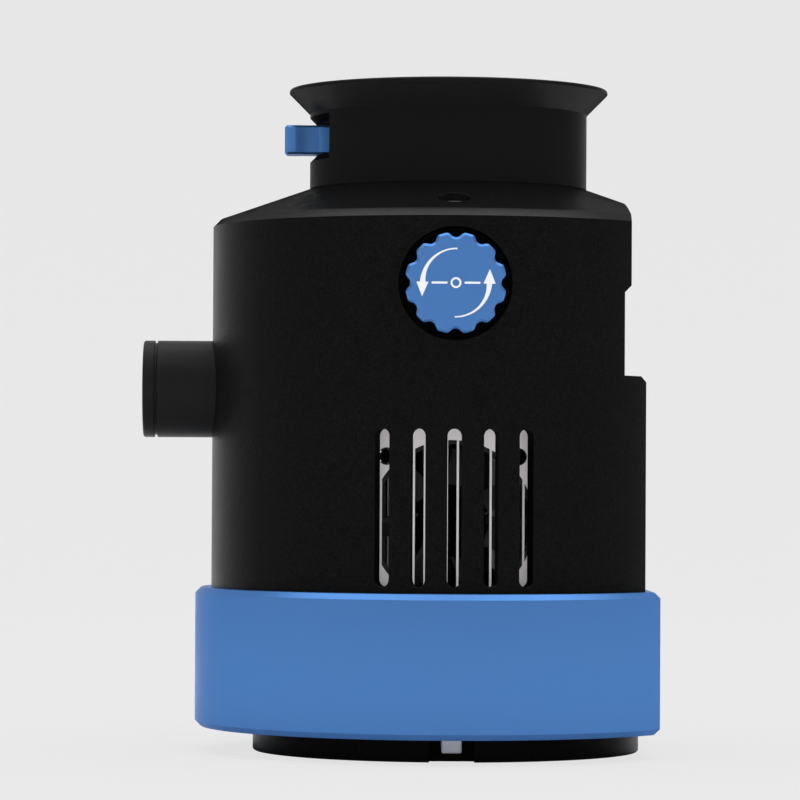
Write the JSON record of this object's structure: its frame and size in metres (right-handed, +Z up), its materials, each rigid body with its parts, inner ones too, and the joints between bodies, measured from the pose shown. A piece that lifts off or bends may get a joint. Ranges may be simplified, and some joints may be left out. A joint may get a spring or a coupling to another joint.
{
  "type": "guide camera",
  "caption": "Round fan-cooled guide camera: black housing on a blue base ring, flared dovetail nose, filter drawer, push-and-turn knob, capped side port and front vents.",
  "frame": {"origin": "centre of the base flange's bottom face", "axes": "+Z up the optical axis to the nose, -Y out of the front with the knob and vents, +X out of the flat side with the sockets"},
  "size_m": [0.0959, 0.095, 0.125],
  "materials": {
    "blue_anodised": "blue anodised, satin",
    "black_housing": "fine-grain black powder coat",
    "black_satin": "black anodised, satin",
    "steel": "bright stainless",
    "dark_steel": "black oxide",
    "bare_aluminium": "bead blasted, clear anodised",
    "plastic": "moulded black",
    "rubber": "matt",
    "circuit_board": "green solder mask",
    "copper": null,
    "ceramic": null,
    "silica": "silica gel beads in a mesh tube",
    "clear_glass": "coated optical glass"
  },
  "bodies": {
    "housing": {"base_flange": "black_housing", "alignment_key": "bare_aluminium", "base_ring": "blue_anodised", "base_seal": "rubber", "main_housing": "black_housing", "latch_screw_1": "dark_steel", "nose_barrel": "black_satin", "nose_lock_ring": "black_satin", "detent_ball": "steel", "detent_spring": "steel", "knob_spring": "steel", "latch_block": "bare_aluminium", "port_tube": "black_satin", "port_nut": "steel", "desiccant_cartridge": "silica", "chamber_body": "bare_aluminium", "window_seal": "rubber", "window_glass": "clear_glass", "window_ring": "black_satin", "sensor_board": "circuit_board", "image_sensor": "ceramic", "cold_finger": "copper", "cooler_module": "ceramic", "heat_sink": "black_satin", "fan_guard": "bare_aluminium", "fan_frame": "plastic", "main_board": "circuit_board", "sensor_cable": "plastic", "connector_panel": "black_housing", "connector_board": "circuit_board", "power_socket": "plastic", "usb_socket": "steel", "guide_socket": "plastic", "flange_screw_1": "dark_steel", "body_screw_1": "dark_steel", "flange_screw_2": "dark_steel", "body_screw_2": "dark_steel", "flange_screw_3": "dark_steel", "body_screw_3": "dark_steel", "flange_screw_4": "dark_steel", "body_screw_4": "dark_steel", "chamber_screw_1": "dark_steel", "chamber_screw_2": "dark_steel", "chamber_screw_3": "dark_steel", "cooler_screw_1": "dark_steel", "fan_screw_1": "dark_steel", "cooler_screw_2": "dark_steel", "fan_screw_2": "dark_steel"},
    "filter_drawer": {"filter_tray": "blue_anodised", "filter_glass": "clear_glass", "filter_ring": "black_satin"},
    "knob_core": {"knob_washer": "steel"},
    "knob": {"release_knob": "blue_anodised", "knob_stem": "steel", "knob_cross_pin": "steel"},
    "cap_seal": {"port_seal": "rubber"},
    "cap": {"port_cap": "black_satin"},
    "fan": {"fan_rotor": "plastic"}
  },
  "joints": [
    {"name": "filter_slide", "type": "slide", "parent": "housing", "child": "filter_drawer", "axis": [-1, 0, 0], "range_m": [0, 0.04]},
    {"name": "knob_push", "type": "slide", "parent": "housing", "child": "knob_core", "axis": [0, 1, 0], "range_m": [0, 0.002], "stiffness_N_per_m": 900, "springref_m": -0.002},
    {"name": "knob_turn", "type": "hinge", "parent": "knob_core", "child": "knob", "pos_m": [0, -0.043, 0.0865], "axis": [0, -1, 0], "range_deg": [0, 90]},
    {"name": "cap_travel", "type": "slide", "parent": "housing", "child": "cap_seal", "axis": [-1, 0, 0], "range_m": [0, 0.006]},
    {"name": "cap_turn", "type": "hinge", "parent": "cap_seal", "child": "cap", "pos_m": [-0.055, 0, 0.0681], "axis": [-1, 0, 0], "range_deg": [0, 2880]},
    {"name": "fan_spin", "type": "hinge", "parent": "housing", "child": "fan", "pos_m": [0, -0.0267, 0.04345], "axis": [0, 1, 0], "continuous": true}
  ],
  "couplings": [
    {"joint": "cap_travel", "follows": "cap_turn", "m_per_rad": 0.00011937}
  ]
}
